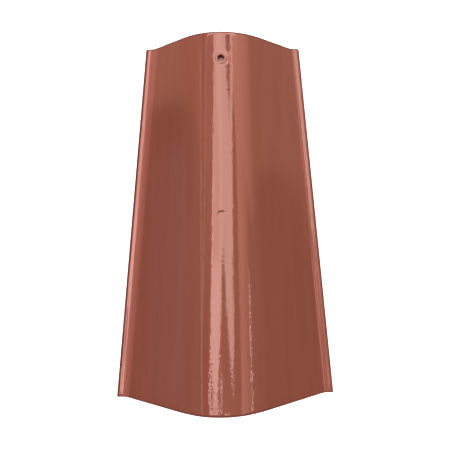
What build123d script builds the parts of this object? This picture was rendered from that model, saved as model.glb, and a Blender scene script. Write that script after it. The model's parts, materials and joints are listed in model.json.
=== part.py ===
"""Tapered, arched clay roof tile with a flat lip along each side, pressed and fired as one piece.

Millimetres and degrees. The tile lies crown up on its two lips: +Z is up, +Y points to the narrow end, and the
origin is on the floor under the middle of the tile. Each cross-section is symmetric about x = 0: a crown arc, a
flatter haunch arc, a straight leg, a foot fillet and a lip that rises a little to its rounded outer edge.
"""

from build123d import *
from math import asin, atan2, cos, degrees, dist, radians, sin, sqrt, tan
import os

# Overall length, and the thickness of the fired clay square to the surface.
LENGTH = 400.0
WALL = 13.0

# The wide end, which laps over the next tile.
WIDE_WIDTH = 246.0
WIDE_HEIGHT = 100.5
WIDE_CROWN_RADIUS = 53.0
WIDE_HAUNCH_RADIUS = 120.0
WIDE_LIP_WIDTH = 9.0
WIDE_FOOT_FILLET = 9.0
WIDE_END_ROUND = 3.2

# The narrow end, which the next tile laps over.
NARROW_WIDTH = 180.0
NARROW_HEIGHT = 77.5
NARROW_CROWN_RADIUS = 49.0
NARROW_HAUNCH_RADIUS = 85.0
NARROW_LIP_WIDTH = 8.5
NARROW_FOOT_FILLET = 6.5
NARROW_END_ROUND = 3.0

# Half of the angle that the crown arc covers, at both ends.
CROWN_HALF_ANGLE = 33.0

# The lips: thickness at the foot of the leg, how steeply the top rises outwards, and the roundings of the clay.
LIP_THICKNESS = 12.0
LIP_RISE_ANGLE = 2.0
LIP_EDGE_ROUND = 3.6
LIP_UNDER_ROUND = 4.6
TOE_ROUND = 6.0
LEAST_LIP_FLAT = 0.5

# The soles of the lips are flat where this much of the roundings is rubbed off below them.
SOLE_TRIM = 0.3

# The screw hole on the crown near the narrow end, in a shallow dish in the middle of a flat spot-face.
HOLE_FROM_NARROW_END = 29.5
HOLE_DIAMETER = 6.5
DISH_DIAMETER = 13.0
DISH_DEPTH = 0.6
SPOT_DIAMETER = 19.0
SPOT_DEPTH = 1.0

# The blind mark on the crown near mid-length: a shallow recess round a low button.
MARK_FROM_NARROW_END = 198.5
MARK_DIAMETER = 11.0
MARK_DEPTH = 1.1
MARK_BUTTON_DIAMETER = 6.0
MARK_BUTTON_HEIGHT = 0.6

# An end is rounded by no more than this share of the tightest rounding that it runs into.
MOST_OF_ROUNDING = 0.9

# The cutters stand this far clear of the surface that they cut, and points this close together are one point.
CUTTER_CLEARANCE = 10.0
TOUCHING = 0.001

# The long and the tight arcs are drawn in this many pieces, which keeps their facets few and even.
ARC_PIECES = 2


class Section:
    """The outline of the tile at one end, worked out from the sizes of that end as points (x, z)."""

    def __init__(self, width, height, crown_radius, haunch_radius, lip_width, foot_fillet):
        self.half_width = width / 2
        self.crown_radius = crown_radius
        self.haunch_radius = haunch_radius
        self.foot_corner = (width / 2 - lip_width, LIP_THICKNESS)
        self.crown_centre = (0.0, height - crown_radius)
        self.haunch_centre = along(self.crown_centre, crown_radius - haunch_radius, CROWN_HALF_ANGLE)
        self.leg_angle = self.tangent_angle()
        self.foot_turn = tan(radians((self.leg_angle + LIP_RISE_ANGLE) / 2))
        self.edge_turn = tan(radians((90.0 + LIP_RISE_ANGLE) / 2))
        # The foot fillet may take no more of the lip than the rounded outer edge leaves.
        lip_room = lip_width / cos(radians(LIP_RISE_ANGLE)) - LIP_EDGE_ROUND * self.edge_turn
        self.foot_fillet = min(foot_fillet, (lip_room - LEAST_LIP_FLAT) / self.foot_turn)

    def tangent_angle(self):
        """The slope of the straight leg from the haunch circle down to the foot corner."""
        across = self.foot_corner[0] - self.haunch_centre[0]
        down = self.foot_corner[1] - self.haunch_centre[1]
        reach = sqrt(across**2 + down**2)
        return degrees(asin(self.haunch_radius / reach) - atan2(down, across))

    def upper_half(self):
        """The top side from the crown line out to the right edge, as arcs of three points and lines of two."""
        leg = self.leg_angle
        leg_end = along(self.foot_corner, self.foot_fillet * self.foot_turn, leg - 90.0)
        fillet_centre = along(leg_end, self.foot_fillet, leg)
        lip_top = self.half_width - self.foot_corner[0]
        edge_top = LIP_THICKNESS + lip_top * tan(radians(LIP_RISE_ANGLE))
        edge_centre = (self.half_width - LIP_EDGE_ROUND, edge_top - LIP_EDGE_ROUND * self.edge_turn)
        crown = arcs(self.crown_centre, self.crown_radius, 0.0, CROWN_HALF_ANGLE, ARC_PIECES)
        haunch = arcs(self.haunch_centre, self.haunch_radius, CROWN_HALF_ANGLE, leg)
        foot = arcs(fillet_centre, -self.foot_fillet, leg, -LIP_RISE_ANGLE)
        edge = arcs(edge_centre, LIP_EDGE_ROUND, -LIP_RISE_ANGLE, 90.0, ARC_PIECES)
        return joined(crown, haunch, foot, edge)

    def lower_half(self):
        """The underside from the right edge back in to the crown line."""
        leg = self.leg_angle
        under_centre = (self.half_width - LIP_UNDER_ROUND, LIP_UNDER_ROUND - SOLE_TRIM)
        toe_height = TOE_ROUND - SOLE_TRIM
        slant = TOE_ROUND - WALL - cos(radians(leg)) * (toe_height - LIP_THICKNESS)
        toe_centre = (self.foot_corner[0] + slant / sin(radians(leg)), toe_height)
        under = arcs(under_centre, LIP_UNDER_ROUND, 90.0, 180.0, ARC_PIECES)
        toe = arcs(toe_centre, TOE_ROUND, 180.0, 180.0 + leg)
        haunch = arcs(self.haunch_centre, self.haunch_radius - WALL, leg, CROWN_HALF_ANGLE)
        vault = arcs(self.crown_centre, self.crown_radius - WALL, CROWN_HALF_ANGLE, 0.0, ARC_PIECES)
        return joined(under, toe, haunch, vault)

    def face(self, y):
        """The whole cross-section as a face in the plane at y."""
        right = joined(self.upper_half(), self.lower_half())
        left = [tuple((-x, z) for x, z in reversed(piece)) for piece in reversed(right)]
        return Face(Wire([curve(piece, y) for piece in right + left]))


def along(start, distance, angle):
    """The point at that distance from start, in a direction that leans by angle from straight up towards +X."""
    return (start[0] + distance * sin(radians(angle)), start[1] + distance * cos(radians(angle)))


def arcs(centre, radius, start, end, count=1):
    """Equal arcs end to end, each as its start, middle and end. A negative radius draws them across the centre."""
    step = (end - start) / count
    turns = [start + step * index for index in range(count)]
    return [tuple(along(centre, radius, turn + step * part) for part in (0.0, 0.5, 1.0)) for turn in turns]


def joined(*runs):
    """Runs of pieces as one run, with a straight line wherever one run stops short of the next."""
    pieces = list(runs[0])
    for run in runs[1:]:
        gap = (pieces[-1][-1], run[0][0])
        if dist(*gap) > TOUCHING:
            pieces.append(gap)
        pieces.extend(run)
    return pieces


def curve(piece, y):
    """A line from two points, or an arc from three, in the plane at y."""
    points = [(x, y, z) for x, z in piece]
    return Line(*points) if len(points) == 2 else ThreePointArc(*points)


def round_end(body, y, radius):
    """Round all the edges of the end at y, by no more than the roundings of the lip allow."""
    most = MOST_OF_ROUNDING * min(LIP_EDGE_ROUND, LIP_UNDER_ROUND, TOE_ROUND)
    return fillet(body.edges().filter_by_position(Axis.Y, y, y), min(radius, most))


def on_crown(from_narrow_end, depth):
    """The place at that depth below the crown line, at that distance from the narrow end."""
    fall = (WIDE_HEIGHT - NARROW_HEIGHT) / LENGTH
    height = NARROW_HEIGHT + fall * from_narrow_end
    return Pos(0, LENGTH / 2 - from_narrow_end, height - depth)


def upright_disc(diameter, bottom, top):
    """A cylinder about the Z axis from bottom to top."""
    return Pos(0, 0, (bottom + top) / 2) * Cylinder(diameter / 2, top - bottom)


def tile_body():
    """The plain tapered arch with its lips, rounded all round both ends."""
    wide = Section(
        WIDE_WIDTH, WIDE_HEIGHT, WIDE_CROWN_RADIUS, WIDE_HAUNCH_RADIUS, WIDE_LIP_WIDTH, WIDE_FOOT_FILLET
    )
    narrow = Section(
        NARROW_WIDTH, NARROW_HEIGHT, NARROW_CROWN_RADIUS, NARROW_HAUNCH_RADIUS, NARROW_LIP_WIDTH,
        NARROW_FOOT_FILLET,
    )
    body = loft([wide.face(-LENGTH / 2), narrow.face(LENGTH / 2)], ruled=True)
    body = round_end(body, -LENGTH / 2, WIDE_END_ROUND)
    body = round_end(body, LENGTH / 2, NARROW_END_ROUND)
    return split(body, bisect_by=Plane.XY, keep=Keep.TOP)


def screw_hole_cutter():
    """The flat spot-face, the dish in it and the hole through the wall."""
    spot = upright_disc(SPOT_DIAMETER, 0, SPOT_DEPTH + CUTTER_CLEARANCE)
    dish = Pos(0, 0, -DISH_DEPTH / 2) * Cone(HOLE_DIAMETER / 2, DISH_DIAMETER / 2, DISH_DEPTH)
    hole = upright_disc(HOLE_DIAMETER, -WALL - CUTTER_CLEARANCE, CUTTER_CLEARANCE)
    return on_crown(HOLE_FROM_NARROW_END, SPOT_DEPTH) * (spot + dish + hole)


def blind_mark_cutter():
    """The shallow round recess, less the button that is left standing in it."""
    recess = upright_disc(MARK_DIAMETER, 0, MARK_DEPTH + CUTTER_CLEARANCE)
    button = upright_disc(MARK_BUTTON_DIAMETER, 0, MARK_BUTTON_HEIGHT)
    return on_crown(MARK_FROM_NARROW_END, MARK_DEPTH) * (recess - button)


tile = tile_body() - screw_hole_cutter() - blind_mark_cutter()

os.makedirs("parts", exist_ok=True)
export_step(tile, "parts/roof_tile.step")
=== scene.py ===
"""Glazed clay roof tile, seen from above on a white table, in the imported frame.

The sizes of the tile and the camera's place are in millimetres. The sizes of the stage are in metres.
"""

import json
from collections import namedtuple
from math import asin, atan2, cos, hypot, pi, radians, sin, sqrt, tan

import bpy
import numpy as np
from mathutils import Matrix, Vector, noise

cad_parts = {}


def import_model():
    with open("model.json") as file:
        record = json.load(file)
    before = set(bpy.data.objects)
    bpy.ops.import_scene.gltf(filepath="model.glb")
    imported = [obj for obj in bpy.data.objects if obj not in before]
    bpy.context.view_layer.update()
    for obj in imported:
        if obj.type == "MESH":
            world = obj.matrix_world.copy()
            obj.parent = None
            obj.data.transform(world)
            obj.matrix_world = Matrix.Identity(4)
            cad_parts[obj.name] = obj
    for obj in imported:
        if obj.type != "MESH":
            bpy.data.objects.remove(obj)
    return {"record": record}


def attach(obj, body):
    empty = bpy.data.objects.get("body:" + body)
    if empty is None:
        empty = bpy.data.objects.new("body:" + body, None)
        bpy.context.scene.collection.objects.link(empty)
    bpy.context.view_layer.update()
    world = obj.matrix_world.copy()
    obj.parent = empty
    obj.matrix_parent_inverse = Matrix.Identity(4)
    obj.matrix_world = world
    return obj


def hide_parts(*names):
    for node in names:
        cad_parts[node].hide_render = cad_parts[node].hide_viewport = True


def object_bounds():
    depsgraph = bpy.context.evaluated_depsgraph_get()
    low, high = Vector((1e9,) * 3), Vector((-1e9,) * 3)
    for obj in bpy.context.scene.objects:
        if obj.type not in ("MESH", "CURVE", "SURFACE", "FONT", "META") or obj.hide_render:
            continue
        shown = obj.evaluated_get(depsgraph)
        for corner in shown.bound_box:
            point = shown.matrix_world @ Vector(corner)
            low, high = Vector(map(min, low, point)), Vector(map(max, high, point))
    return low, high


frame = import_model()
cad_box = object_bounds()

MM = 0.001
NODE = "roof_tile"
MOUNTS = {mount["name"]: mount for mount in frame["record"]["mounts"]}

# The tile's length and its screw hole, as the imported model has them.
LENGTH = round((cad_box[1][1] - cad_box[0][1]) / MM, 1)
HOLE_Y = MOUNTS["screw_hole"]["pos_m"][1] / MM
HOLE_RADIUS = MOUNTS["screw_hole"]["dims"]["r_mm"]

# The two ends' sizes, as the part has them. An end's rounding is sharper where the skin hardly faces up.
End = namedtuple("End", "width height crown haunch lip foot end_round corner_round")
WIDE = End(width=246.0, height=100.5, crown=53.0, haunch=120.0, lip=9.0, foot=9.0,
           end_round=3.2, corner_round=0.8)
NARROW = End(width=180.0, height=77.5, crown=49.0, haunch=85.0, lip=8.5, foot=6.5,
             end_round=3.0, corner_round=1.8)

# How far up the skin faces, as a share, where the rounding is at its sharpest and where it is at its softest.
HARDLY_UP = 0.1
WELL_UP = 0.6

# The sizes that both ends share.
WALL = 13.0
CROWN_HALF_ANGLE = radians(33.0)
LIP_THICKNESS = 12.0
LIP_RISE = radians(2.0)
EDGE_ROUND = 3.6
UNDER_ROUND = 4.6
TOE_ROUND = 6.0
SOLE_TRIM = 0.3

# The slow waves of the pressed clay: their height, and their lengths across the tile and along it.
WAVE_HEIGHT = 0.025
WAVE_ACROSS = 26.0
WAVE_ALONG = 60.0

# The fine lengthwise ridges on the right lip, each as how far in from the edge it is, its reach to either
# side and its height. They start at the first place along the tile and are at full height from the second on.
RIDGES = ((2.9, 2.2, 0.26), (7.1, 0.9, 0.14), (9.6, 0.9, 0.16))
RIDGES_START = -10.0
RIDGES_FULL = -70.0

# A painted highlight, a paler glaze colour standing in for the brighter reflections on the lips, is at its
# fullest where a ridge is this high. It is as full on the left lip, up to the first distance in from the
# edge, and gone from the second on.
PAINTED_HIGHLIGHT_RIDGE = 0.12
PAINTED_HIGHLIGHT_LEFT = (13.0, 16.5)

# How far in from the left and the right edge the painted shade is full, and how far in it is gone.
PAINTED_SHADE_LEFT = (2.4, 3.2)
PAINTED_SHADE_RIGHT = (1.6, 2.4)

# The painted shade on the wide end's rim: its reach at the floor, how much farther it reaches on the crown,
# and the widths over which it and its darker outer half fade.
WIDE_RIM = 1.4
WIDE_RIM_GROWTH = 1.8
RIM_FADE = 0.5
OUTER_RIM_FADE = 0.4

# The painted shade on the narrow end's rim: its reach, and the heights between which it fades out below the
# crown.
NARROW_RIM = 2.2
NARROW_RIM_GONE = 74.0
NARROW_RIM_FULL = 68.0

# The spot-face round the screw hole: its depth, and the radii between which it runs out into the crown.
SPOT_DEPTH = 0.38
SPOT_INNER = 8.1
SPOT_OUTER = 10.5
SPOT_RINGS = 9
SPOT_BORDER = 0.3

# The dish in the spot-face. Its edge is sharp towards the first angle, and in part towards the second.
DISH_BORDER = 7.3
DISH_SHARP = radians(-65.0)
DISH_PARTLY_SHARP = radians(190.0)
DISH_PART = 0.4

# The rings of the dish, each as its radius, how far it lies below the spot-face, how much farther down it
# lies on the sharp side, and how strong the painted shade is there.
DISH_RINGS = (
    (6.9, 0.00, 0.04, 0.0),
    (6.5, 0.02, 0.24, 0.9),
    (6.1, 0.04, 0.48, 0.9),
    (5.7, 0.07, 0.62, 0.9),
    (5.1, 0.11, 0.66, 0.0),
    (4.5, 0.16, 0.64, 0.0),
    (4.0, 0.24, 0.56, 0.0),
    (3.7, 0.38, 0.40, 0.0),
)

# The rings of the hole's rounded mouth, each as how much wider it is than the hole, how far it lies below the
# spot-face and how strong its painted shade is.
MOUTH_RINGS = ((0.2, 0.9, 0.0), (0.05, 1.4, 1.0), (0.0, 2.4, 1.0))

# The rings of the hole's lower mouth, each as how much wider it is than the hole, how far it lies above the
# vault and how strong its painted shade is. They start inside a border.
LOWER_MOUTH_BORDER = 1.2
LOWER_MOUTH_RINGS = ((0.5, 0.0, 0.0), (0.1, 0.2, 1.0), (0.0, 0.7, 1.0))

# The blind mark on the crown line. It is deepest towards the angle and has a share of the depth elsewhere.
MARK_Y = LENGTH / 2 - 198.5
MARK_DEPTH = 1.05
MARK_SHARP = radians(112.0)
MARK_LEAST = 0.2

# The radius of the mark's low button, the one at which the groove round it is at its full depth, and the one
# at which it has run out into the crown.
MARK_BUTTON = 1.5
MARK_GROOVE = 4.3
MARK_OUTER = 5.7

# The radii of the mark's rings, from the border in, and how soon painted shade is full on those of its edge.
MARK_BORDER = 6.0
MARK_OUTER_RING = 5.73
MARK_EDGE_RINGS = (5.46, 5.19, 4.92, 4.65, 4.38)
MARK_FLOOR_RINGS = (3.9, 3.4, 3.1, 2.8, 2.5, 2.2, 1.2)
MARK_PAINTED_SHADE = 1.6

# How finely the skin is divided: the steps of each stretch of the section, the rows, and those of each end.
UPPER_STEPS = dict(crown=20, haunch=15, leg=36, foot=16, lip=3, edge=12)
LOWER_STEPS = dict(side=2, under=8, sole=4, toe=6, leg=16, haunch=6, vault=8)
ROWS = 222
END_ROWS = 7

# The places of the tile's two materials.
GLAZED = 0
BARE = 1

# The noise in the materials, in waves per metre along each axis, and how high its relief is, in metres.
STREAK_WAVES = (90.0, 6.0, 90.0)
ORANGE_PEEL_WAVES = (460.0, 400.0, 460.0)
ORANGE_PEEL_HEIGHT = 0.00007
MOTTLE_WAVES = (60.0, 60.0, 60.0)
GRIT_WAVES = (900.0, 900.0, 900.0)
GRIT_HEIGHT = 0.0003

# Colours of the tile, in linear light.
GLAZE_DARK_STREAK = (0.300, 0.086, 0.053)
GLAZE_LIGHT_STREAK = (0.322, 0.095, 0.060)
# The next colour is a painted highlight on the lips and the ridges.
GLAZE_PAINTED_HIGHLIGHT = (0.42, 0.126, 0.09)
# The next colour is painted shade at the edges, the ends, the hole and the mark.
GLAZE_PAINTED_SHADE = (0.19, 0.040, 0.028)
GLAZE_REFLECTION = (1.0, 0.62, 0.55)
CLAY_DARK = (0.30, 0.115, 0.062)
CLAY_LIGHT = (0.40, 0.165, 0.09)

# Colours of the stage.
WHITE = (1.0, 1.0, 1.0)
GREY = (0.4, 0.4, 0.4)
PALE_PINK = (1.0, 0.72, 0.65)
PINK = (1.0, 0.55, 0.5)
PALE_ORANGE = (1.0, 0.68, 0.54)
ORANGE = (1.0, 0.52, 0.40)
# The next two paint the table's shadow under the tile, with a painted warm glow of light bounced inside the
# arch.
PAINTED_SHADOW_TABLE = (0.26, 0.12, 0.085)
PAINTED_BOUNCE_GLOW = (0.20, 0.11, 0.085)
BELOW_TABLE = (0.12, 0.035, 0.03)
HORIZON = (0.14, 0.10, 0.10)
LOW_WALL = (0.2, 0.2, 0.2)
CEILING = (0.3, 0.3, 0.3)

# How strongly the white table and wall glow. Under the tile the table carries a painted shadow, dim, up to
# the first of these distances from the middle, and is white from the second on, in metres.
WHITE_GLOW = 1.2
SHADED_X = (0.055, 0.072)
SHADED_Y = (0.196, 0.212)

# The places of the glowing panels, in metres: how high the level ones hang, how far apart in height those
# that overlap are, how far to the side the upright ones stand, and how high the narrow strips hang.
PANEL_HEIGHT = 2.0
PANEL_GAP = 0.01
PANEL_ASIDE = 2.5
STRIP_HEIGHT = 0.6


# Helpers

def straight(values, none, full):
    """0 at none, 1 at full, an even run between, and no more beyond."""
    return np.clip((values - none) / (full - none), 0, 1)


def smooth(value, none, full):
    """0 at none, 1 at full, and a smooth run between."""
    share = min(max((value - none) / (full - none), 0.0), 1.0)
    return share * share * (3 - 2 * share)


def along_tile(y, wide, narrow):
    """What runs evenly along the tile from its value at the wide end to that at the narrow end, at y."""
    share = (y + LENGTH / 2) / LENGTH
    return wide * (1 - share) + narrow * share


def leaning(x, y, angle):
    """How much the direction of (x, y) from the middle agrees with that angle, from 0 to 1."""
    return max(0.0, cos(atan2(y, x) - angle))


def wrapped(angle):
    """The same angle, from -pi to pi."""
    return (angle + pi) % (2 * pi) - pi


# Section

def arc(centre, radius, start, end, steps, facing=1.0):
    """Points and normals along an arc, without its first point. Facing -1 turns the normals inward."""
    turn = np.linspace(start, end, steps + 1)[1:]
    out = np.stack([np.sin(turn), np.cos(turn)], 1)
    return np.asarray(centre) + radius * out, facing * out


def line(start, end, normal, steps):
    """Points and normals along a straight stretch, without its first point."""
    share = np.linspace(0, 1, steps + 1)[1:, None]
    points = np.asarray(start) + (np.asarray(end) - np.asarray(start)) * share
    return points, np.repeat([normal], steps, 0)


class Section:
    """The outline of the tile at one end, as points (x, z) and the skin's normals."""

    def __init__(self, end):
        self.end = end
        self.half = end.width / 2
        self.corner = np.array([self.half - end.lip, LIP_THICKNESS])
        self.crown_centre = np.array([0.0, end.height - end.crown])
        lean = np.array([sin(CROWN_HALF_ANGLE), cos(CROWN_HALF_ANGLE)])
        self.haunch_centre = self.crown_centre + (end.crown - end.haunch) * lean
        across, down = self.corner - self.haunch_centre
        self.leg = asin(end.haunch / hypot(across, down)) - atan2(down, across)
        self.leg_normal = np.array([sin(self.leg), cos(self.leg)])

    def upper_half(self):
        """The top side from the crown line out to the right edge, as runs of points and normals."""
        end = self.end
        foot_turn = tan((self.leg + LIP_RISE) / 2)
        leg_end = self.corner + end.foot * foot_turn * np.array([-cos(self.leg), sin(self.leg)])
        foot_centre = leg_end + end.foot * self.leg_normal
        edge_top = LIP_THICKNESS + end.lip * tan(LIP_RISE)
        edge_centre = np.array([self.half - EDGE_ROUND, edge_top - EDGE_ROUND * tan((pi / 2 + LIP_RISE) / 2)])
        edge_start = edge_centre + EDGE_ROUND * np.array([-sin(LIP_RISE), cos(LIP_RISE)])

        middle = (np.array([[0.0, end.height]]), np.array([[0.0, 1.0]]))
        crown = arc(self.crown_centre, end.crown, 0, CROWN_HALF_ANGLE, UPPER_STEPS["crown"])
        haunch = arc(self.haunch_centre, end.haunch, CROWN_HALF_ANGLE, self.leg, UPPER_STEPS["haunch"])
        leg = line(haunch[0][-1], leg_end, self.leg_normal, UPPER_STEPS["leg"])
        foot = arc(foot_centre, -end.foot, self.leg, -LIP_RISE, UPPER_STEPS["foot"])
        lip = line(foot[0][-1], edge_start, foot[1][-1], UPPER_STEPS["lip"])
        edge = arc(edge_centre, EDGE_ROUND, -LIP_RISE, pi / 2, UPPER_STEPS["edge"])
        return [middle, crown, haunch, leg, foot, lip, edge]

    def lower_half(self, start):
        """The underside from start, on the right edge, back in to the crown line."""
        end = self.end
        under_centre = np.array([self.half - UNDER_ROUND, UNDER_ROUND - SOLE_TRIM])
        toe_height = TOE_ROUND - SOLE_TRIM
        slant = TOE_ROUND - WALL - cos(self.leg) * (toe_height - LIP_THICKNESS)
        toe_centre = np.array([self.corner[0] + slant / sin(self.leg), toe_height])
        haunch_start = self.haunch_centre + (end.haunch - WALL) * self.leg_normal

        side = line(start, under_centre + [UNDER_ROUND, 0], [1.0, 0.0], LOWER_STEPS["side"])
        under = arc(under_centre, UNDER_ROUND, pi / 2, pi, LOWER_STEPS["under"])
        sole = line(under[0][-1], toe_centre - [0, TOE_ROUND], [0.0, -1.0], LOWER_STEPS["sole"])
        toe = arc(toe_centre, TOE_ROUND, pi, pi + self.leg, LOWER_STEPS["toe"])
        leg = line(toe[0][-1], haunch_start, -self.leg_normal, LOWER_STEPS["leg"])
        haunch = arc(self.haunch_centre, end.haunch - WALL, self.leg, CROWN_HALF_ANGLE,
                     LOWER_STEPS["haunch"], facing=-1.0)
        vault = arc(self.crown_centre, end.crown - WALL, CROWN_HALF_ANGLE, 0,
                    LOWER_STEPS["vault"], facing=-1.0)
        return [side, under, sole, toe, leg, haunch, vault]

    def outline(self):
        """The whole outline: from the crown line round the right edge, underneath and up the left side."""
        runs = self.upper_half()
        runs += self.lower_half(runs[-1][0][-1])
        points = np.concatenate([run_points for run_points, _ in runs])
        normals = np.concatenate([run_normals for _, run_normals in runs])
        mirror = np.array([-1.0, 1.0])
        left_points = points[-2:0:-1] * mirror
        left_normals = normals[-2:0:-1] * mirror
        return np.concatenate([points, left_points]), np.concatenate([normals, left_normals])


# Skin

def stations():
    """The rows along the tile: even along the body, closer together round each end."""
    turns = pi / 2 * np.arange(END_ROWS + 1) / END_ROWS
    first = -LENGTH / 2 + WIDE.end_round
    last = LENGTH / 2 - NARROW.end_round
    low = first - WIDE.end_round * np.sin(turns[:0:-1])
    high = last + NARROW.end_round * np.sin(turns[1:])
    return np.concatenate([low, np.linspace(first, last, ROWS), high])


def end_inset(y, upward):
    """How far each point of the skin's row at y draws in near an end, for how far up it faces."""
    end = WIDE if y < 0 else NARROW
    softness = straight(upward, HARDLY_UP, WELL_UP)
    radius = end.corner_round + (end.end_round - end.corner_round) * softness
    short = np.clip(radius - (LENGTH / 2 - abs(y)), 0, radius)
    return radius - np.sqrt(radius**2 - short**2)


def end_painted_shade(y, height):
    """The painted shade near an end. The rim is widest on the wide crown, and the narrow crown has none."""
    short = LENGTH / 2 - abs(y)
    if y < 0:
        reach = WIDE_RIM + WIDE_RIM_GROWTH * height / WIDE.height
        whole = straight(short, reach, reach - RIM_FADE)
        outer = straight(short, reach / 2, reach / 2 - OUTER_RIM_FADE)
        return (whole + outer) / 2
    below_crown = straight(height, NARROW_RIM_GONE, NARROW_RIM_FULL)
    return below_crown * straight(short, NARROW_RIM, NARROW_RIM - RIM_FADE)


def ripple(x, y, z):
    """How far the slow waves of the clay and its glaze stand off the skin at a point."""
    return WAVE_HEIGHT * noise.noise(Vector((x / WAVE_ACROSS, y / WAVE_ALONG, z / WAVE_ACROSS)))


def half_width(y):
    """Half of the tile's width at y."""
    return along_tile(y, WIDE.width, NARROW.width) / 2


def ridges(x, y):
    """How far the right lip's ridges stand off the skin at each x. They fade out towards the narrow end."""
    inward = half_width(y) - x
    total = 0.0
    for place, reach, height in RIDGES:
        aside = np.minimum(np.abs(inward - place) / reach, 1.0)
        total = total + height * np.cos(pi / 2 * aside) ** 2
    return smooth(y, RIDGES_START, RIDGES_FULL) * total


def painted_light_shares(x, y, z, ridged):
    """The painted shade and the painted highlight along the row at y."""
    from_left = half_width(y) + x
    from_right = half_width(y) - x
    painted_edge_shade = straight(from_left, *reversed(PAINTED_SHADE_LEFT)) + straight(from_right, *reversed(PAINTED_SHADE_RIGHT))
    painted_highlight = np.maximum(straight(from_left, *reversed(PAINTED_HIGHLIGHT_LEFT)), straight(ridged, 0.0, PAINTED_HIGHLIGHT_RIDGE))
    return np.maximum(painted_edge_shade, end_painted_shade(y, z)), painted_highlight


def crown_height(x, y, depth=0.0):
    """The height of the crown's surface, or of the vault at that depth below it."""
    radius = along_tile(y, WIDE.crown, NARROW.crown)
    centre = along_tile(y, WIDE.height - WIDE.crown, NARROW.height - NARROW.crown)
    level = centre + sqrt((radius - depth)**2 - x**2)
    return level + (ripple(x, y, level) if depth == 0 else 0.0)


def skin():
    """The skin as rows of points, with its painted shade and painted highlight."""
    wide_points, wide_normals = Section(WIDE).outline()
    narrow_points, narrow_normals = Section(NARROW).outline()
    count = len(wide_points)
    last_top = sum(UPPER_STEPS.values()) - UPPER_STEPS["edge"]
    on_top = np.ones(count)
    on_top[last_top + 1:count - last_top] = 0.0
    rows = []
    painted_shades = []
    painted_highlights = []
    for y in stations():
        points = along_tile(y, wide_points, narrow_points)
        normals = along_tile(y, wide_normals, narrow_normals)
        normals /= np.linalg.norm(normals, axis=1)[:, None]
        waves = np.array([ripple(x, y, z) if top else 0.0 for (x, z), top in zip(points, on_top)])
        ridged = on_top * ridges(points[:, 0], y)
        points = points + normals * (waves + ridged - end_inset(y, normals[:, 1]))[:, None]
        points[:, 1] = np.maximum(points[:, 1], 0.0)
        # Painted shade at the edges and the ends, and painted highlight on the lips and ridges.
        painted_shade, painted_highlight = painted_light_shares(points[:, 0], y, points[:, 1], ridged)
        rows.append(np.stack([points[:, 0], np.full(count, y), points[:, 1]], 1))
        painted_shades.append(painted_shade)
        painted_highlights.append(painted_highlight)
    # The attributes carry the painted shade and the painted highlight.
    return np.array(rows), {"painted_shade": np.array(painted_shades), "lip": np.array(painted_highlights)}


class SkinMesh:
    """The tile's skin as points and faces, with windows left open for what is cut into it."""

    def __init__(self):
        self.grid, shares = skin()
        self.rows, self.columns = self.grid.shape[:2]
        self.points = [tuple(point) for point in self.grid.reshape(-1, 3)]
        self.shares = {name: list(values.reshape(-1)) for name, values in shares.items()}
        self.faces = []
        self.windows = set()

    def index(self, row, column):
        """The number of the skin's point in that row and column."""
        return row * self.columns + column % self.columns

    def add(self, points, painted_shades=None):
        """Further points, for what is cut into a window, and the painted shade on them."""
        first = len(self.points)
        self.points.extend(points)
        self.shares["painted_shade"].extend(painted_shades or [0.0] * len(points))
        self.shares["lip"].extend([0.0] * len(points))
        return list(range(first, first + len(points)))

    def band(self, outer, inner):
        """Faces between two rings of as many points, or between one of twice as many and the other."""
        count = len(inner)
        share = len(outer) // count
        for place in range(count):
            following = (place + 1) % count
            side = [outer[(share * place + step) % len(outer)] for step in range(share + 1)]
            self.faces.append((side + [inner[following], inner[place]], GLAZED))

    def close_skin(self):
        """The faces of the skin outside the windows, and the two flat ends."""
        last_glazed = sum(UPPER_STEPS.values()) + LOWER_STEPS["side"] + LOWER_STEPS["under"] // 2
        for row in range(self.rows - 1):
            for column in range(self.columns):
                if (row, column) in self.windows:
                    continue
                bare = last_glazed <= column < self.columns - last_glazed
                corners = [(row, column), (row, column + 1), (row + 1, column + 1), (row + 1, column)]
                face = [self.index(*corner) for corner in corners]
                self.faces.append((face, BARE if bare else GLAZED))
        wide_end = [self.index(0, column) for column in reversed(range(self.columns))]
        narrow_end = [self.index(self.rows - 1, column) for column in range(self.columns)]
        self.caps = [wide_end, narrow_end]


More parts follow.
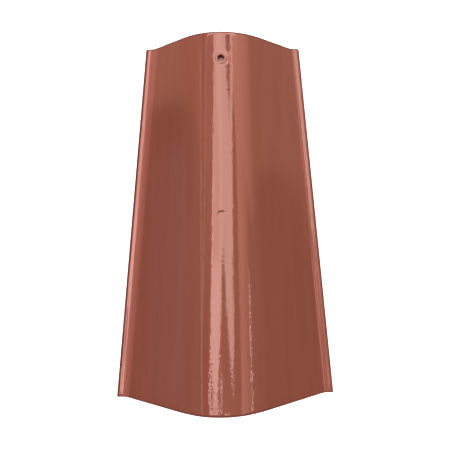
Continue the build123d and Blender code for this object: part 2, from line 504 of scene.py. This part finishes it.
class Patch:
    """A window in the skin, closed by rings that run in from its border to a round feature at (0, y)."""

    def __init__(self, mesh, y, middle_column, half_columns, half_rows):
        self.mesh = mesh
        self.y = y
        middle_row = int(np.argmin(np.abs(mesh.grid[:, middle_column, 1] - y)))
        low, high = middle_row - half_rows, middle_row + half_rows
        left, right = middle_column - half_columns, middle_column + half_columns
        for row in range(low, high):
            mesh.windows |= {(row, column % mesh.columns) for column in range(left, right)}
        border = [(low, column) for column in range(left, right)]
        border += [(row, right) for row in range(low, high)]
        border += [(high, column) for column in range(right, left, -1)]
        border += [(row, left) for row in range(high, low, -1)]
        self.ring = [mesh.index(row, column) for row, column in border]
        self.border = [mesh.points[index] for index in self.ring]
        self.angles = [atan2(point[1] - y, point[0]) for point in self.border]

    def add(self, points, painted_shades=None):
        """A further ring of points, joined to the last one."""
        new = self.mesh.add(points, painted_shades)
        self.mesh.band(self.ring, new)
        self.ring = new

    def circle(self, radius, height, painted_shade=None):
        """A round ring at that radius. Its height and its painted shade are functions of (x, y)."""
        places = [(radius * cos(angle), self.y + radius * sin(angle)) for angle in self.angles]
        points = [(x, y, height(x, y)) for x, y in places]
        self.add(points, [painted_shade(x, y) for x, y in places] if painted_shade else None)

    def run_in(self, radius, height):
        """A ring halfway from the window's outline to a circle of that radius, and the circle."""
        for share in (0.5, 1.0):
            places = []
            for point, angle in zip(self.border, self.angles):
                x = point[0] * (1 - share) + radius * cos(angle) * share
                y = point[1] * (1 - share) + (self.y + radius * sin(angle)) * share
                places.append((x, y, height(x, y)))
            self.add(places)

    def close(self):
        """One face over what the last ring leaves open."""
        self.mesh.faces.append((self.ring, GLAZED))


def screw_hole(mesh):
    """The dished spot-face and the hole's upper mouth, as a patch whose last ring is in the hole."""
    fall = (WIDE.height - NARROW.height) / LENGTH
    middle_height = crown_height(0, HOLE_Y)

    def spot_floor(y):
        return middle_height - SPOT_DEPTH - fall * (y - HOLE_Y)

    def spot(x, y):
        share = smooth(hypot(x, y - HOLE_Y), SPOT_INNER, SPOT_OUTER)
        return spot_floor(y) * (1 - share) + crown_height(x, y) * share

    def sharpness(x, y):
        partly = DISH_PART * leaning(x, y - HOLE_Y, DISH_PARTLY_SHARP) ** 4
        return leaning(x, y - HOLE_Y, DISH_SHARP) + partly

    patch = Patch(mesh, HOLE_Y, middle_column=0, half_columns=9, half_rows=7)
    patch.run_in(SPOT_OUTER + SPOT_BORDER, crown_height)
    for radius in np.linspace(SPOT_OUTER, SPOT_INNER, SPOT_RINGS):
        patch.circle(radius, spot)
    patch.circle(DISH_BORDER, spot)
    # Painted shade on the dish's sharp side and in the hole's mouth.
    for radius, drop, sharp_drop, shade_share in DISH_RINGS:
        patch.circle(radius, lambda x, y: spot_floor(y) - drop - sharp_drop * sharpness(x, y),
                     lambda x, y: shade_share * sharpness(x, y))
    for wider, drop, shade_share in MOUTH_RINGS:
        patch.circle(HOLE_RADIUS + wider, lambda x, y: spot_floor(y) - drop, lambda x, y: shade_share)
    return patch


def lower_mouth(mesh):
    """The hole's lower mouth, as a patch whose last ring is in the hole."""

    def vault(x, y):
        return crown_height(x, y, WALL)

    patch = Patch(mesh, HOLE_Y, middle_column=mesh.columns // 2, half_columns=3, half_rows=5)
    patch.run_in(HOLE_RADIUS + LOWER_MOUTH_BORDER, vault)
    # Painted shade in the hole's lower mouth.
    for wider, above, shade_share in LOWER_MOUTH_RINGS:
        patch.circle(HOLE_RADIUS + wider, lambda x, y: vault(x, y) + above, lambda x, y: shade_share)
    return patch


def join_mouths(top, bottom):
    """The wall of the hole. The lower ring turns the other way round and has half as many points."""
    ring = bottom.ring
    start = min(range(len(ring)), key=lambda place: abs(wrapped(bottom.angles[place] - top.angles[0])))
    step = 1 if wrapped(bottom.angles[1] - bottom.angles[0]) > 0 else -1
    ordered = [ring[(start + step * place) % len(ring)] for place in range(len(ring))]
    top.mesh.band(top.ring, ordered)


def blind_mark(mesh):
    """The shallow round mark: a groove round a low button, deepest on its sharp side."""

    def sharpness(x, y):
        return leaning(x, y - MARK_Y, MARK_SHARP) ** 3

    def pressed(x, y):
        radius = hypot(x, y - MARK_Y)
        groove = sharpness(x, y) * smooth(radius, MARK_BUTTON, MARK_GROOVE)
        depth = MARK_DEPTH * (MARK_LEAST + (1 - MARK_LEAST) * groove)
        return crown_height(x, y) - depth * (1 - smooth(radius, MARK_GROOVE, MARK_OUTER))

    patch = Patch(mesh, MARK_Y, middle_column=0, half_columns=5, half_rows=4)
    patch.run_in(MARK_BORDER, crown_height)
    patch.circle(MARK_OUTER_RING, pressed)
    # Painted shade on the edge rings towards the sharp side.
    for radius in MARK_EDGE_RINGS:
        patch.circle(radius, pressed, lambda x, y: min(1.0, MARK_PAINTED_SHADE * sharpness(x, y)))
    for radius in MARK_FLOOR_RINGS:
        patch.circle(radius, pressed)
    patch.close()


def add_object(name, data):
    """A new object with that data, in the scene."""
    made = bpy.data.objects.new(name, data)
    bpy.context.collection.objects.link(made)
    return made


def build_tile(glaze, clay):
    """The whole tile as one mesh, glazed on top and bare underneath."""
    mesh = SkinMesh()
    join_mouths(screw_hole(mesh), lower_mouth(mesh))
    blind_mark(mesh)
    mesh.close_skin()
    data = bpy.data.meshes.new("glazed_tile")
    points = [tuple(MM * value for value in point) for point in mesh.points]
    data.from_pydata(points, [], [face for face, _ in mesh.faces] + mesh.caps)
    data.materials.append(glaze)
    data.materials.append(clay)
    for polygon, (_, place) in zip(data.polygons, mesh.faces):
        polygon.material_index = place
        polygon.use_smooth = True
    for name, values in mesh.shares.items():
        data.attributes.new(name, "FLOAT", "POINT").data.foreach_set("value", values)
    return add_object("glazed_tile", data)


# Materials

def new_material(name, shader_type="ShaderNodeBsdfPrincipled"):
    """A material with one shader, its node tree and that shader."""
    material = bpy.data.materials.new(name)
    material.use_nodes = True
    tree = material.node_tree
    tree.nodes.clear()
    output = tree.nodes.new("ShaderNodeOutputMaterial")
    shader = tree.nodes.new(shader_type)
    tree.links.new(shader.outputs[0], output.inputs[0])
    return material, tree, shader


def place_axes(tree, kind="Object"):
    """X, Y and Z of the shaded place in its object's own coordinates, or of the direction for the world."""
    place = tree.nodes.new("ShaderNodeTexCoord")
    split = tree.nodes.new("ShaderNodeSeparateXYZ")
    tree.links.new(place.outputs[kind], split.inputs[0])
    return split.outputs


def run_between(tree, value, start, end, at_start=0.0, at_end=1.0):
    """A number that runs evenly from at_start, where the value is start, to at_end, where it is end."""
    node = tree.nodes.new("ShaderNodeMapRange")
    node.inputs["From Min"].default_value = start
    node.inputs["From Max"].default_value = end
    node.inputs["To Min"].default_value = at_start
    node.inputs["To Max"].default_value = at_end
    tree.links.new(value, node.inputs["Value"])
    return node.outputs[0]


def scaled_noise(tree, waves, detail, roughness=0.5):
    """Noise over the object's own coordinates, with its waves per metre along each axis."""
    place = tree.nodes.new("ShaderNodeTexCoord")
    mapping = tree.nodes.new("ShaderNodeMapping")
    mapping.inputs["Scale"].default_value = waves
    texture = tree.nodes.new("ShaderNodeTexNoise")
    texture.inputs["Scale"].default_value = 1.0
    texture.inputs["Detail"].default_value = detail
    texture.inputs["Roughness"].default_value = roughness
    tree.links.new(place.outputs["Object"], mapping.inputs["Vector"])
    tree.links.new(mapping.outputs["Vector"], texture.inputs["Vector"])
    return texture.outputs["Fac"]


def ramp(tree, value, stops):
    """A colour that runs through the stops, each a place from 0 to 1 and its colour."""
    node = tree.nodes.new("ShaderNodeValToRGB")
    elements = node.color_ramp.elements
    while len(elements) < len(stops):
        elements.new(0.5)
    for element, (position, colour) in zip(elements, stops):
        element.position = position
        element.color = (*colour, 1.0)
    tree.links.new(value, node.inputs["Fac"])
    return node.outputs["Color"]


def bump(tree, height, distance):
    """The normal of a skin with that relief. Where the height is 1 it stands off by the distance."""
    node = tree.nodes.new("ShaderNodeBump")
    node.inputs["Strength"].default_value = 1.0
    node.inputs["Distance"].default_value = distance
    tree.links.new(height, node.inputs["Height"])
    return node.outputs["Normal"]


def mixed(tree, attribute, colour, other):
    """The colour, giving way to the other one as the tile's attribute rises."""
    share = tree.nodes.new("ShaderNodeAttribute")
    share.attribute_name = attribute
    mix = tree.nodes.new("ShaderNodeMix")
    mix.data_type = "RGBA"
    tree.links.new(share.outputs["Fac"], mix.inputs["Factor"])
    tree.links.new(colour, mix.inputs[6])
    mix.inputs[7].default_value = (*other, 1.0)
    return mix.outputs[2]


def glaze_material():
    """Glossy red-brown glaze with faint lengthwise streaks and a fine orange-peel."""
    material, tree, shader = new_material("red_brown_glaze")
    streaks = scaled_noise(tree, STREAK_WAVES, 3.0)
    body = ramp(tree, streaks, [(0.3, GLAZE_DARK_STREAK), (0.7, GLAZE_LIGHT_STREAK)])
    # Painted highlight on the lips and ridges, and painted shade at the edges, the ends, the hole and the
    # mark.
    with_painted_highlight = mixed(tree, "lip", body, GLAZE_PAINTED_HIGHLIGHT)
    tree.links.new(mixed(tree, "painted_shade", with_painted_highlight, GLAZE_PAINTED_SHADE), shader.inputs["Base Color"])
    shader.inputs["Roughness"].default_value = 0.08
    shader.inputs["IOR"].default_value = 1.5
    shader.inputs["Specular Tint"].default_value = (*GLAZE_REFLECTION, 1.0)
    orange_peel = scaled_noise(tree, ORANGE_PEEL_WAVES, 0.0)
    tree.links.new(bump(tree, orange_peel, ORANGE_PEEL_HEIGHT), shader.inputs["Normal"])
    return material


def clay_material():
    """Dull, gritty fired clay."""
    material, tree, shader = new_material("bare_fired_clay")
    mottle = scaled_noise(tree, MOTTLE_WAVES, 5.0, 0.6)
    colour = ramp(tree, mottle, [(0.3, CLAY_DARK), (0.7, CLAY_LIGHT)])
    tree.links.new(colour, shader.inputs["Base Color"])
    shader.inputs["Roughness"].default_value = 0.85
    grit = scaled_noise(tree, GRIT_WAVES, 4.0, 0.6)
    tree.links.new(bump(tree, grit, GRIT_HEIGHT), shader.inputs["Normal"])
    return material


def glowing_material(name, strength, fades=None, colour=WHITE):
    """A plain glow. Fades are an axis and the two places on it where the glow is full and where it is out."""
    material, tree, glow = new_material(name, "ShaderNodeEmission")
    glow.inputs["Color"].default_value = (*colour, 1.0)
    glow.inputs["Strength"].default_value = strength
    if fades:
        axis, bright, dark = fades
        fading = run_between(tree, place_axes(tree)[axis], bright, dark, strength, 0.0)
        tree.links.new(fading, glow.inputs["Strength"])
    return material


def table_material():
    """White, glowing a little, with a painted shadow, dim and brown, under the tile."""
    material, tree, shader = new_material("white_table")
    shader.inputs["Roughness"].default_value = 0.9
    shader.inputs["Specular IOR Level"].default_value = 0.1
    shader.inputs["Emission Strength"].default_value = WHITE_GLOW
    # A painted shadow under the tile, where the table is dim and brown.
    axes = place_axes(tree)
    beside = beyond(tree, axes["X"], *SHADED_X)
    past_ends = beyond(tree, axes["Y"], *SHADED_Y)
    clear = tree.nodes.new("ShaderNodeMath")
    clear.operation = "MAXIMUM"
    tree.links.new(beside, clear.inputs[0])
    tree.links.new(past_ends, clear.inputs[1])
    glow = ramp(tree, clear.outputs[0], [(0.0, PAINTED_BOUNCE_GLOW), (1.0, WHITE)])
    tree.links.new(glow, shader.inputs["Emission Color"])
    colour = ramp(tree, clear.outputs[0], [(0.0, PAINTED_SHADOW_TABLE), (1.0, GREY)])
    tree.links.new(colour, shader.inputs["Base Color"])
    return material


def beyond(tree, value, near, far):
    """0 where the value, either way, is less than near, and 1 where it is more than far."""
    distance = tree.nodes.new("ShaderNodeMath")
    distance.operation = "ABSOLUTE"
    tree.links.new(value, distance.inputs[0])
    return run_between(tree, distance.outputs[0], near, far)


# Stage

def add_mesh(name, points, faces, material):
    """A new object of one material, from points and faces."""
    data = bpy.data.meshes.new(name)
    data.from_pydata(points, [], faces)
    data.materials.append(material)
    return add_object(name, data)


def level(height, outline):
    """The outline's (x, y) at that height."""
    return [(x, y, height) for x, y in outline]


def upright(x, outline):
    """The outline's (y, z) at that x."""
    return [(x, y, z) for y, z in outline]


def table():
    """A white table, wide enough for every view."""
    half = 12.0
    corners = level(0, [(-half, -half), (half, -half), (half, half), (-half, half)])
    top = add_mesh("table", corners, [(0, 1, 2, 3)], table_material())
    top.visible_glossy = False
    top.visible_diffuse = False


def backdrop():
    """A white wall all round, far off, which only the camera sees."""
    sides = 48
    radius = 11.5
    bottom = -0.01
    top = 9.0
    turns = [2 * pi * side / sides for side in range(sides)]
    ring = [(radius * cos(turn), radius * sin(turn)) for turn in turns]
    points = level(bottom, ring) + level(top, ring)
    walls = [(side, (side + 1) % sides, sides + (side + 1) % sides, sides + side) for side in range(sides)]
    ceiling = tuple(range(sides, 2 * sides))
    wall = add_mesh("backdrop", points, walls + [ceiling], glowing_material("white_wall", WHITE_GLOW))
    wall.visible_glossy = False
    wall.visible_diffuse = False
    wall.visible_shadow = False


def world():
    """A room that is brighter overhead, and a dark warm colour below the table's level."""
    scene = bpy.context.scene
    scene.world = bpy.data.worlds.new("studio")
    scene.world.use_nodes = True
    tree = scene.world.node_tree
    background = tree.nodes["Background"]
    upward = run_between(tree, place_axes(tree, "Generated")["Z"], -1.0, 1.0)
    levels = [(0.0, BELOW_TABLE), (0.49, BELOW_TABLE), (0.52, HORIZON), (0.65, LOW_WALL), (0.8, CEILING),
              (1.0, CEILING)]
    tree.links.new(ramp(tree, upward, levels), background.inputs["Color"])
    background.inputs["Strength"].default_value = 1.0


def card(name, corners, strength, fades=None, colour=WHITE):
    """A glowing panel of the studio that only the glaze's reflections show."""
    face = list(range(len(corners)))
    panel = add_mesh(name, corners, [face], glowing_material(name, strength, fades, colour))
    panel.visible_camera = False
    panel.visible_diffuse = False
    panel.visible_shadow = False


def main_panels():
    """The panels overhead, whose reflections make up the wide highlight on the crown."""
    # The sides that two panels share, from the wide end of the tile towards the narrow one.
    fringe_side = [(-0.86, 0.19), (-0.79, 0.39), (-0.74, 0.56)]
    middle_side = [(-0.28, 0.08), (-0.27, 0.19), (-0.23, 0.39), (-0.28, 0.56), (-0.44, 0.73), (-0.50, 0.90),
                   (-0.55, 1.3)]
    fringe = [(-0.87, 0.56), (-0.92, 0.39), (-0.99, 0.19), (-1.03, 0.0), (-1.13, -0.21), (-1.17, -0.33),
              (-1.26, -0.45), (-1.30, -0.52), (-1.09, -0.52), (-1.05, -0.40), (-1.04, -0.33), (-1.0, -0.21),
              (-0.90, 0.0)] + fringe_side
    left_back = [(-0.81, 1.3), (-0.80, 0.90), (-0.87, 0.57)]
    left = left_back + fringe_side[::-1] + [(-0.89, 0.08)] + middle_side
    middle = middle_side[::-1] + [(-0.10, 0.08), (0.0, 0.13), (0.0, 1.3)]
    lower = [(-0.89, 0.08), (-0.90, 0.0), (-1.0, -0.21), (-1.03, -0.33), (-0.97, -0.43), (-0.84, -0.46),
             (-0.80, -0.52), (-0.50, -0.52), (-0.46, -0.45), (-0.36, -0.32), (-0.25, -0.20), (-0.14, -0.08),
             (-0.10, 0.08)]
    right = [(0.0, 0.13), (0.15, 0.05), (0.21, -0.08), (0.36, -0.20), (0.52, -0.32), (0.63, -0.39),
             (0.74, -0.43), (0.84, -0.33), (0.86, -0.20), (0.87, -0.08), (0.85, 0.05), (0.88, 0.20),
             (0.91, 0.40), (0.90, 0.59), (0.965, 0.78), (1.04, 0.93), (1.10, 1.3), (0.80, 1.3), (0.78, 0.95),
             (0.68, 0.74), (0.50, 0.84), (0.38, 0.95), (0.40, 1.3), (0.0, 1.3)]
    streak = [(-0.25, -0.38), (-0.13, -0.38), (-0.10, -0.52), (-0.24, -0.52)]
    low_left = [(-1.3, -0.54), (-1.2, -0.80), (-0.35, -0.80), (-0.35, -0.54)]
    low_right = [(0.05, -0.58), (0.05, -0.80), (0.38, -0.80), (0.38, -0.58)]
    back = [(-1.6, 1.31), (1.6, 1.31), (1.8, 4.5), (-1.8, 4.5)]
    card("panel_fringe", level(PANEL_HEIGHT, fringe), strength=9.5)
    card("panel_left", level(PANEL_HEIGHT, left), strength=6.6)
    card("panel_middle", level(PANEL_HEIGHT, middle), strength=8.2)
    card("panel_lower", level(PANEL_HEIGHT, lower), strength=9.0)
    card("panel_right", level(PANEL_HEIGHT, right), strength=7.1)
    card("panel_streak", level(PANEL_HEIGHT, streak), strength=8.0)
    card("panel_low_left", level(PANEL_HEIGHT, low_left), strength=8.0)
    card("panel_low_right", level(PANEL_HEIGHT, low_right), strength=8.0)
    card("panel_back", level(PANEL_HEIGHT, back), strength=8.0)


def far_panels():
    """The dimmer panels farther out, which the sides of the crown show. The lower of two hides the higher."""
    first, second, third = [PANEL_HEIGHT + PANEL_GAP * layer for layer in (1, 2, 3)]
    right = [(1.5, -1.6), (4.6, -1.6), (4.6, 0.7), (1.35, 0.7), (1.5, 0.4), (1.5, 0.15), (1.62, -0.2),
             (1.65, -0.5)]
    right_back = [(1.0, 0.95), (1.25, 0.80), (1.5, 0.62), (9.0, 0.62), (9.0, 4.5), (1.0, 4.5)]
    line_left = [(-1.66, 1.3), (-1.82, 0.68), (-2.0, 0.23), (-2.13, -0.12), (-2.42, -0.45), (-2.45, -0.7),
                 (-2.65, -0.7), (-2.62, -0.45), (-2.33, -0.12), (-2.2, 0.23), (-2.02, 0.68), (-1.86, 1.3)]
    left = [(-0.5, -1.0), (-2.1, -1.0), (-2.1, 2.6), (-0.5, 2.6)]
    farthest_left = [(-2.1, -1.0), (-3.6, -1.0), (-3.6, 2.6), (-2.1, 2.6)]
    card("panel_far_right", level(second, right), strength=3.9, fades=("X", 1.3, 4.6), colour=PALE_PINK)
    card("panel_far_right_back", level(third, right_back), strength=4.1, fades=("X", 1.0, 9.0),
         colour=PALE_PINK)
    card("line_far_left", level(first, line_left), strength=2.1)
    card("panel_far_left", level(second, left), strength=1.25, fades=("Y", 0.75, -0.35), colour=PINK)
    card("panel_farthest_left", level(third, farthest_left), strength=0.5, fades=("Y", 0.75, -0.1),
         colour=PINK)


def side_panels():
    """The upright panels to either side, which the haunches and the legs show."""
    right = [(0.44, 0.75), (2.2, 0.75), (2.2, -1.0), (0.0, -1.0), (0.0, -0.36), (0.44, -0.33)]
    left = [(0.76, 1.5), (2.2, 1.5), (2.2, -1.0), (0.80, -1.0)]
    low_left = [(-0.7, -0.20), (0.55, -0.42), (0.55, 0.2), (-0.7, 0.35)]
    card("panel_side_right", upright(PANEL_ASIDE, right), strength=0.84, colour=PALE_ORANGE)
    card("panel_side_left", upright(-PANEL_ASIDE, left), strength=1.3, fades=("Y", 1.5, -1.8), colour=ORANGE)
    card("panel_low_side_left", upright(-PANEL_ASIDE, low_left), strength=0.35)


def strips():
    """Two narrow strips nearer the table, which show as thin lines where the crown meets the haunches."""
    right = [(1.07, -0.05), (1.15, -0.05), (1.17, -0.25), (1.19, -0.47), (1.13, -0.46), (1.10, -0.24)]
    left = [(-0.91, 0.60), (-0.80, 0.57), (-0.72, 0.14), (-0.61, -0.31), (-0.59, -0.45), (-0.65, -0.45),
            (-0.68, -0.32), (-0.81, 0.15)]
    card("strip_right", level(STRIP_HEIGHT, right), strength=12.0)
    card("strip_left", level(STRIP_HEIGHT, left), strength=2.2)


def soft_light(name, place, aim, size, power):
    """A soft light for the body of the glaze. The panels stand for it in reflections."""
    data = bpy.data.lights.new(name, "AREA")
    data.shape = "RECTANGLE"
    data.size, data.size_y = size
    data.energy = power
    light = add_object(name, data)
    light.location = place
    light.rotation_mode = "QUATERNION"
    light.rotation_quaternion = (Vector(aim) - Vector(place)).to_track_quat("-Z", "Y")
    light.visible_glossy = False


def soft_lights():
    """One light overhead and one from either side."""
    soft_light("overhead", place=(0.0, 0.25, 2.1), aim=(0.0, 0.0, 0.1), size=(1.5, 1.5), power=25.5)
    soft_light("fill_left", place=(-1.8, 0.0, 0.8), aim=(0.0, 0.0, 0.05), size=(0.8, 1.6), power=10.0)
    soft_light("fill_right", place=(1.8, 0.0, 0.8), aim=(0.0, 0.0, 0.05), size=(0.8, 1.6), power=11.0)


def camera():
    """The camera looks almost straight down. Its place is in its own axes, which are turned a little."""
    turns = (-0.0689, 0.0337, 0.0108)
    aside = (45.37, 37.03)
    distance = 729.87
    focal_pixels = 621.0
    image_pixels = 450.0
    axis_pixel = (263.09, 187.25)
    sensor_width = 36.0
    about_x, about_y, about_z = [Matrix.Rotation(turn, 3, axis) for turn, axis in zip(turns, "XYZ")]
    facing = (about_z @ about_y @ about_x).transposed()
    data = bpy.data.cameras.new("camera")
    view = add_object("camera", data)
    view.matrix_world = Matrix.Translation(facing @ Vector((*aside, distance)) * MM) @ facing.to_4x4()
    data.sensor_width = sensor_width
    data.lens = sensor_width * focal_pixels / image_pixels
    data.shift_x = (image_pixels / 2 - axis_pixel[0]) / image_pixels
    data.shift_y = (axis_pixel[1] - image_pixels / 2) / image_pixels
    data.clip_start = 0.01
    data.clip_end = 20.0
    bpy.context.scene.camera = view


tile = build_tile(glaze_material(), clay_material())
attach(tile, "root")
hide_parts(NODE)
table()
backdrop()
world()
main_panels()
far_panels()
side_panels()
strips()
soft_lights()
camera()
bpy.context.scene.view_settings.view_transform = "Standard"
